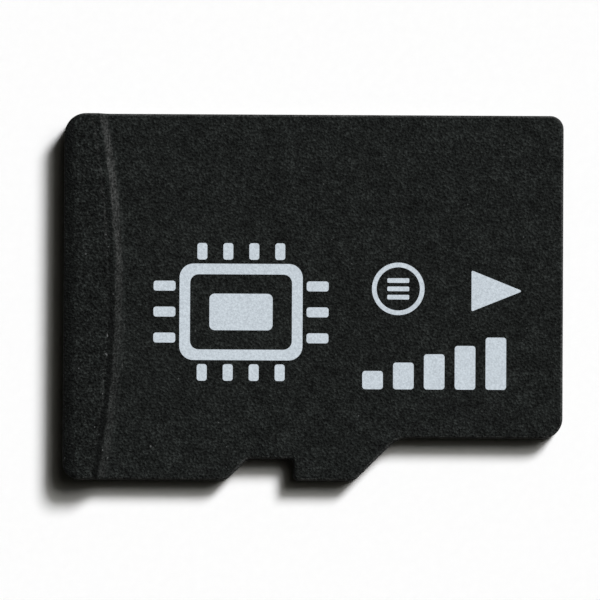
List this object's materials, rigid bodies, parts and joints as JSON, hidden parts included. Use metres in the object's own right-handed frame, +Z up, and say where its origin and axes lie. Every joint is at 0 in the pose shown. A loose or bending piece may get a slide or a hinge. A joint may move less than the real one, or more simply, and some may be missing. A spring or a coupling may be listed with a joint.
{
  "type": "micro flash memory card",
  "caption": "Thin black micro memory card with a stepped, notched edge, a curved grip ridge across the back and a row of gold contacts under the insertion end; stores data.",
  "frame": {"origin": "middle of the underside, under the centre of the card's bounding box", "axes": "+X from the grip ridge to the insertion end, +Y from the notched edge to the straight edge, +Z up from the contact side to the label side"},
  "size_m": [0.015, 0.011, 0.001],
  "materials": {
    "mould": "matte, fine grain",
    "print_ink": "matte, printed",
    "laminate": "satin",
    "gold_plate": "satin",
    "silicon": "polished",
    "die_film": "matte",
    "ceramic_chip": "matte",
    "solder": "satin",
    "bond_gold": "bright"
  },
  "bodies": {
    "root": {"mould_body": "mould", "substrate": "laminate", "contact_1": "gold_plate", "contact_2": "gold_plate", "contact_3": "gold_plate", "contact_4": "gold_plate", "contact_5": "gold_plate", "contact_6": "gold_plate", "contact_7": "gold_plate", "contact_8": "gold_plate", "memory_die_1": "silicon", "memory_die_2": "silicon", "memory_die_3": "silicon", "memory_die_4": "silicon", "controller_die": "silicon", "memory_film_1": "die_film", "memory_film_2": "die_film", "memory_film_3": "die_film", "memory_film_4": "die_film", "controller_film": "die_film", "capacitor_1": "ceramic_chip", "capacitor_2": "ceramic_chip", "capacitor_3": "ceramic_chip", "solder_joints": "solder", "memory_fingers": "bond_gold", "controller_fingers": "bond_gold", "memory_wires": "bond_gold", "controller_wires": "bond_gold"}
  },
  "joints": []
}
